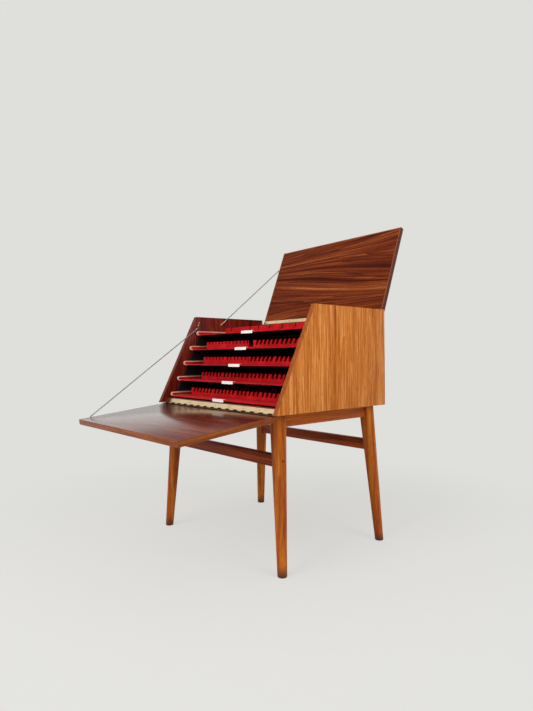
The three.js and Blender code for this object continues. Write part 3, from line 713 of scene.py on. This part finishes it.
# The slots were left at odd angles by whoever drove the screws.
first_screw, screw_pitch, screw_turn = -0.274, 0.0685, 0.6
screw_places = [(first_screw + i * screw_pitch, screw_turn * i) for i in range(9)]
for name, width, side, odd, frame_of_leaf, body in (
    ("flap_hinge_case_leaf", 0.015, -1, 1, flap_seat, "case"),
    ("flap_hinge_moving_leaf", 0.015, 1, 0, flap_frame, "flap"),
    ("lid_hinge_case_leaf", 0.0135, 1, 0, lid_seat, "case"),
    ("lid_hinge_moving_leaf", 0.0135, -1, 1, lid_frame, "lid"),
):
    z_low, z_high = sorted((side * parting, side * (parting + leaf_thickness)))
    bm = board((-wing_half, plate_start, z_low), (wing_half, width, z_high), 0.0001, 1)
    pitch = 2 * wing_half / knuckle_count
    for i in range(odd, knuckle_count, 2):
        x_low = i * pitch - wing_half + knuckle_gap / 2
        x_high = x_low + pitch - knuckle_gap
        along_pin = Matrix.Translation(((x_low + x_high) / 2, 0, 0)) @ Matrix.Rotation(math.pi / 2, 4, "Y")
        made = bmesh.ops.create_cone(
            bm, cap_ends=False, segments=20, matrix=along_pin,
            radius1=knuckle_radius, radius2=knuckle_radius, depth=x_high - x_low,
        )["verts"]
        shell = list({face for vert in made for face in vert.link_faces})
        bmesh.ops.recalc_face_normals(bm, faces=shell)
        bmesh.ops.solidify(bm, geom=shell, thickness=knuckle_wall)
        neck_middle = Vector(((x_low + x_high) / 2, plate_start - neck_lap, (z_low + z_high) / 2))
        block(bm, neck_middle, (x_high - x_low, neck_length, leaf_thickness))
    bmesh.ops.transform(bm, matrix=frame_of_leaf, verts=bm.verts)
    # The flap's leaf and its knuckles take the dark brown brass: painted shade for the knuckle line's dark
    # gaps.
    finish = dark_shade_brass if name == "flap_hinge_moving_leaf" else leaf_brass
    leaf = make(f"{name}_brass", bm, [finish], flat_from=0.0005)
    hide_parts(name)
    screws = bmesh.new()
    middle_y = (plate_start + width) / 2
    add_screws(screws, [(x, middle_y, turn) for x, turn in screw_places], side * parting, -side)
    bmesh.ops.transform(screws, matrix=frame_of_leaf, verts=screws.verts)
    heads = make(f"{name}_screws", screws, [screw_brass], flat_from=1)
    for part in (leaf, heads):
        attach(part, body)
for name in ("flap_hinge_pin", "lid_hinge_pin"):
    low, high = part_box(name)
    centre = (Vector(low) + Vector(high)) / 2
    bm = bmesh.new()
    left_end, right_end = (Vector((x, *centre[1:])) for x in (low[0], high[0]))
    soften(bm, rod(bm, left_end, right_end, pin_radius, 16), 0.0003)
    pin = make(f"{name}_brass", bm, [pin_brass], flat_from=1)
    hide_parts(name)
    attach(pin, "case")

# A thin brass plate on the left side catches the flap's edge when it is shut.
catch_end, catch_length, catch_right = 0.312765 - 0.0039, 0.016, -0.2799
catch_foot, catch_top, catch_arris = -0.0005, 0.001, 0.0003
bm = board(
    (case_face_x, catch_end - catch_length, catch_foot), (catch_right, catch_end, catch_top), catch_arris, 2,
)
bmesh.ops.transform(bm, matrix=flap_seat, verts=bm.verts)
catch = make("catch_plate_brass", bm, [leaf_brass])
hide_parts("catch_plate")
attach(catch, "case")


# Five trays slide on ledges in the case. Each has a thin board for a floor, covered with red flock on top and
# over its front edge, and black underneath: painted shade for the dark gaps between the trays.
# Sprayed rayon flock: deep matt red, paler where light grazes the standing fibres.
def red_flock(name, dark, middle, pale):
    made, tree, shader, place = material(
        name, middle, 0.95, Sheen_Weight=0.1, Sheen_Roughness=0.5, Specular_IOR_Level=0.15,
    )
    shader.inputs["Sheen Tint"].default_value = colour("#FF8A80")
    fibres = node(tree, "TexNoise", {"Vector": place, "Scale": 1 / 0.0016, "Detail": 2.0})
    nap = node(tree, "TexNoise", {"Vector": place, "Scale": 1 / 0.03, "Detail": 3.0})
    both = node(tree, "Math", {0: fibres.outputs[0], 1: 0.5, 2: nap.outputs[0]}, operation="MULTIPLY_ADD")
    tinted(tree, shader, both.outputs[0], ((0.55, dark), (0.75, middle), (0.95, pale)))
    relief(tree, shader, fibres.outputs[0], 0.6, 0.0005)
    return made


tray_flock = red_flock("rayon flock, sprayed, red", "#A00810", "#B80C16", "#CA1620")
# The black under the floors is painted shade for the dark gaps between the trays.
tray_underside_shade = matt_black("black, painted shade under the trays", 0.8)
tray_numbers = range(1, 6)
# How far each floor's front edge stands back from the plain solid's: on the lowest tray the floor
# comes as far forward as the rails, and on the others the rails' ends stand out past it.
floor_setback, floor_arris = {1: 0.0083, 2: 0.0083, 3: 0.0083, 4: 0.0083, 5: -0.0015}, 0.001
for number in tray_numbers:
    low, high = (Vector(corner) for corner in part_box(f"tray_{number}_floor"))
    low.y += floor_setback[number]
    bm = board(low, high, floor_arris, 2)
    for face in bm.faces:
        face.material_index = 1 if face.normal.z < -0.9 else 0
    floor_board = make(f"tray_{number}_floor_flocked", bm, [tray_flock, tray_underside_shade])
    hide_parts(f"tray_{number}_floor")
    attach(floor_board, f"tray_{number}")


# The trays' side rails are beech strips with a rounded front end. Bare beech shows as a band along
# the top and round the front; the sunken field behind it is flocked red.
# Steamed beech, planed and waxed: pale pinkish cream with short fine flecks.
rail_beech = wood(
    "beech, steamed, planed and waxed", grain_along["Y"],
    ((0, "#D09A78"), (0.4, "#E4B090"), (0.7, "#EEBE9E"), (1, "#F4CCB0")),
    streak=(0.03, 0.0022), broad=(0.2, 0.01), sway=(0.002, 0.1), roughness=0.5, pores=0.2,
)
rail_round, band, rail_arris, recess_depth = 0.007, 0.0035, 0.0006, 0.001
# The top tray's rails stay back, clear of the fitting on the closed flap.
rail_height, rail_forward = 0.015, {1: 0.0, 2: 0.0029, 3: 0.0029, 4: 0.0029, 5: 0.0029}
for number in tray_numbers:
    for side_name, side in (("left", -1), ("right", 1)):
        name = f"tray_{number}_rail_{side_name}"
        low, high = (Vector(corner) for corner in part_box(name))
        low.y -= rail_forward[number]
        high.z = low.z + rail_height
        bm = board(low, high)
        front = [
            edge for edge in bm.edges
            if all(vert.co.y < low.y + 0.0001 for vert in edge.verts)
            and abs(edge.verts[0].co.x - edge.verts[1].co.x) > 0.001
        ]
        soften(bm, front, rail_round, 8)
        sharp_edges = [
            edge for edge in bm.edges if edge.calc_face_angle(0) > 0.6 or edge.calc_length() > 0.05
        ]
        soften(bm, sharp_edges, rail_arris, 2)
        field = [face for face in bm.faces if face.normal.x * side < -0.99 and face.calc_area() > 0.001]
        bmesh.ops.inset_region(bm, faces=field, thickness=band - rail_arris, use_even_offset=True)
        sunk = bmesh.ops.extrude_face_region(bm, geom=field)["geom"]
        bmesh.ops.delete(bm, geom=field, context="FACES")
        bmesh.ops.translate(bm, vec=(side * recess_depth, 0, 0), verts=points_of(sunk))
        for face in sunk:
            if isinstance(face, bmesh.types.BMFace):
                face.material_index = 1
        rail = make(f"{name}_beech", bm, [rail_beech, tray_flock])
        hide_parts(name)
        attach(rail, f"tray_{number}")


# Each tray's pull is a bent strip of white plastic, pinned over the middle of the front edge. Its
# face hangs down a little, with one moulded line across, and its flange slopes back to the floor.
# Moulded polystyrene: slightly yellowed white, glossy, with the faint mottle of old plastic.
pull_plastic, tree, shader, place = material("polystyrene, moulded, white", "#F8F3EE", 0.32, Coat_Weight=0.2)
mottle = node(tree, "TexNoise", {"Vector": place, "Scale": 1 / 0.012, "Detail": 3.0})
tinted(tree, shader, mottle.outputs[0], ((0.3, "#F4EEE8"), (0.7, "#FBF7F3")))
relief(tree, shader, mottle.outputs[0], 0.1, 0.0002)
pull_wall, pull_half, pull_rise, pull_flange, pull_bend = 0.0009, 0.028, 0.006, 0.009, 0.0016
line_foot, line_height, line_depth, flange_back, flange_lift = 0.0042, 0.0004, 0.0003, 0.0006, 0.0018
for number in tray_numbers:
    floor_low, floor_high = (Vector(corner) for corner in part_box(f"tray_{number}_floor"))
    floor_low.y += floor_setback[number]
    low = Vector(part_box(f"tray_{number}_pull")[0])
    low.x, low.y = -pull_half, low.y + floor_setback[number]
    high = Vector((pull_half, floor_low.y + pull_flange, floor_low.z + pull_rise))
    floor_top = floor_high.z
    profile = [
        (low.y, low.z), (low.y, low.z + line_foot),
        (low.y + line_depth, low.z + line_foot + line_height), (low.y, low.z + line_foot + 2 * line_height),
        (low.y, high.z), (high.y - flange_back, floor_top + flange_lift),
    ]
    bm = bmesh.new()
    verts = [bm.verts.new((low.x, y, z)) for y, z in profile]
    edges = [bm.edges.new(pair) for pair in zip(verts, verts[1:])]
    swept = bmesh.ops.extrude_edge_only(bm, edges=edges)["geom"]
    bmesh.ops.translate(bm, vec=(high.x - low.x, 0, 0), verts=points_of(swept))
    bend = [
        edge for edge in bm.edges
        if all(abs(vert.co.z - high.z) < 0.00001 for vert in edge.verts) and edge.calc_length() > 0.01
    ]
    soften(bm, bend, pull_bend, 5)
    bmesh.ops.recalc_face_normals(bm, faces=bm.faces)
    if sum(face.normal.y * face.calc_area() for face in bm.faces) > 0:
        bmesh.ops.reverse_faces(bm, faces=bm.faces)
    bmesh.ops.solidify(bm, geom=bm.faces[:], thickness=pull_wall)
    pull = make(f"tray_{number}_pull_plastic", bm, [pull_plastic])
    rounded(pull, "eased edges", 0.0003)
    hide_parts(f"tray_{number}_pull")
    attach(pull, f"tray_{number}")


# The racks that hold the cutlery are notched boards on edge, flocked red all over. Each notch is
# one fork, spoon or knife wide, the flock rounding the tops of the teeth.
# Notches stand in groups of six, for a half dozen of each piece. Each is its centre, its width at the
# mouth, how much narrower the foot is, its depth, and how far the mouth leans to the right.
notch_pitch, rack_height, rack_thickness, end_drop = 0.0191, 0.0245, 0.003, 0.012
narrow_tooth, narrow_ease, broad_ease = 0.0055, 0.0014, 0.0026


def notch_groups(starts, width, narrowing, depth, lean):
    """Six notches of one kind from each starting place along the rack."""
    return [(start + i * notch_pitch, width, narrowing, depth, lean) for start in starts for i in range(6)]


def split_rack(close_starts, gap_centre, gap_width, wide_starts):
    """Narrow upright notches on the left, wide leaning ones on the right, and a gap between."""
    close = notch_groups(close_starts, 0.0055, 0, 0.01, 0)
    wide = notch_groups(wide_starts, 0.0125, 0.0045, 0.015, 0.00745)
    return close + [(gap_centre, gap_width, 0, 0.02, 0)] + wide


knife_places = (-0.2167, -0.1109, -0.0655, -0.0076, 0.0529, 0.1134, 0.1739, 0.2318)
rack_notches = {
    1: [(place, 0.007, 0, 0.014, 0.002) for place in knife_places],
    2: split_rack((-0.2351, -0.1179), -0.005, 0.0229, (0.0255, 0.1421)),
    3: split_rack((-0.2321, -0.1114), -0.0015, 0.003, (0.0151, 0.1346)),
    4: notch_groups((-0.2364, -0.1164, 0.0043, 0.124), 0.009, 0, 0.014, 0.005),
    5: notch_groups((-0.2316, -0.1109, 0.0091, 0.1275), 0.009, 0, 0.014, 0.005),
}
rack_back = {1: 0.0023, 2: 0.0013, 3: 0.0013, 4: 0.0023, 5: 0.0025}
rack_flock = red_flock("rayon flock, sprayed, red, on the racks", "#A60C12", "#BC1017", "#CE1C22")
for number in tray_numbers:
    for which in ("front", "rear"):
        name = f"tray_{number}_rack_{which}"
        low, high = (Vector(corner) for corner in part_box(name))
        low.y += rack_back[number]
        top = low.z + rack_height
        stations = [(low.x, low.x, top - end_drop)]
        for centre, width, narrowing, depth, lean in rack_notches[number]:
            for half in (-width / 2, width / 2):
                foot_x = centre - lean / 2 + half * (1 - narrowing / width)
                stations.append((foot_x, centre + lean / 2 + half, top - depth))
        stations.append((high.x, high.x, top - end_drop))
        bm = bmesh.new()
        feet = [bm.verts.new((x, low.y, z)) for x, _, z in stations]
        spans = [bm.edges.new(pair) for pair in zip(feet, feet[1:])]
        raised = bmesh.ops.extrude_edge_only(bm, edges=spans[::2])["geom"]
        for tip in points_of(raised):
            tip.co.x = min(stations, key=lambda station: abs(station[0] - tip.co.x))[1]
            tip.co.z = top
        lowered = bmesh.ops.extrude_edge_only(bm, edges=spans)["geom"]
        for foot in points_of(lowered):
            foot.co.z = low.z
        bmesh.ops.dissolve_faces(bm, faces=bm.faces)
        tops = [edge for edge in bm.edges if min(vert.co.z for vert in edge.verts) > top - 0.0001]
        narrow = [vert for edge in tops if edge.calc_length() < narrow_tooth for vert in edge.verts]
        broad = [vert for edge in tops if edge.calc_length() >= narrow_tooth for vert in edge.verts]
        for corners, ease in ((narrow, narrow_ease), (broad, broad_ease)):
            bmesh.ops.bevel(
                bm, geom=corners, offset=ease, affect="VERTICES",
                segments=4, profile=0.5, material=-1,
            )
        bmesh.ops.recalc_face_normals(bm, faces=bm.faces)
        if bm.faces[:][0].normal.y > 0:
            bmesh.ops.reverse_faces(bm, faces=bm.faces)
        bmesh.ops.solidify(bm, geom=bm.faces[:], thickness=rack_thickness)
        rack = make(f"{name}_flocked", bm, [rack_flock], flat_from=0.0005, sharp=50)
        rounded(rack, "soft flocked edges", 0.0006)
        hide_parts(name)
        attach(rack, f"tray_{number}")


# A pale sheet of studio paper lies under the chest. Near it the paper takes the light and the
# shadow; further off it turns into the even background colour.
background = "#DFDFDC"
floor_mesh = bmesh.new()
bmesh.ops.create_circle(floor_mesh, cap_ends=True, segments=96, radius=12)
paper, tree, shader, place = material("studio paper, pale grey", "#DDDCD9", 0.9)
fine = node(tree, "TexNoise", {"Vector": place, "Scale": 1 / 0.05, "Detail": 4.0})
tinted(tree, shader, fine.outputs[0], ((0.2, "#DBDAD7"), (0.8, "#DFDEDB")))
distance = node(tree, "VectorMath", {0: place}, operation="LENGTH")
far = node(tree, "MapRange", {
    "Value": distance.outputs["Value"], "From Min": 0.6, "From Max": 1.5, "To Min": 0.74,
}, interpolation_type="SMOOTHSTEP")
glow = node(tree, "Emission", {"Color": colour(background), "Strength": 1.0})


def seen_rays(tree):
    """One for camera, glossy and transmitted rays, and zero for the light on other surfaces."""
    rays = node(tree, "LightPath", {})
    total = rays.outputs["Is Camera Ray"]
    for kind in ("Is Glossy Ray", "Is Transmission Ray"):
        total = node(tree, "Math", {0: total, 1: rays.outputs[kind]}, operation="MAXIMUM").outputs[0]
    return total


mask = node(tree, "Math", {0: far.outputs[0], 1: seen_rays(tree)}, operation="MULTIPLY")
blended = node(tree, "MixShader", {0: mask.outputs[0], 1: shader.outputs[0], 2: glow.outputs[0]})
tree.links.new(blended.outputs[0], tree.nodes["Material Output"].inputs["Surface"])
studio_floor = make("studio_floor", floor_mesh, [paper])

# Soft daylight all round, one large soft lamp on the right for the chest's side, and one high in
# front for the trays, the pulls and the flap.
world = bpy.data.worlds.new("studio")
world.use_nodes = True
tree = world.node_tree
soft = tree.nodes["Background"]
# The daylight comes from overhead and fades towards the horizon, so the case stays dark inside.
sky = node(tree, "SeparateXYZ", {0: node(tree, "TexCoord", {}).outputs["Generated"]}).outputs["Z"]
fade = node(tree, "ValToRGB", {"Fac": sky}, stops=((0.0, "#404040"), (0.9, "#FFFFFF")))
tree.links.new(fade.outputs["Color"], soft.inputs["Color"])
soft.inputs["Strength"].default_value = 0.75
shown = node(tree, "Background", {"Color": colour(background), "Strength": 1.0})
both = node(tree, "MixShader", {0: seen_rays(tree), 1: soft.outputs[0], 2: shown.outputs[0]})
tree.links.new(both.outputs[0], tree.nodes["World Output"].inputs["Surface"])
bpy.context.scene.world = world
for name, place, size, power in (
    ("soft_lamp_right", Vector((2.7, 0.2, 1.6)), 1.8, 40),
    ("soft_lamp_front", Vector((0.2, -2.5, 1.9)), 1.8, 56),
):
    lamp = bpy.data.objects.new(name, bpy.data.lights.new(name, "AREA"))
    lamp.data.shape, lamp.data.size, lamp.data.energy = "DISK", size, power
    aim = Vector((0, 0, 0.45)) - place
    lamp.matrix_world = Matrix.Translation(place) @ aim.to_track_quat("-Z", "Y").to_matrix().to_4x4()
    bpy.context.scene.collection.objects.link(lamp)
bpy.context.scene.view_settings.view_transform = "Standard"

bpy.context.view_layer.update()
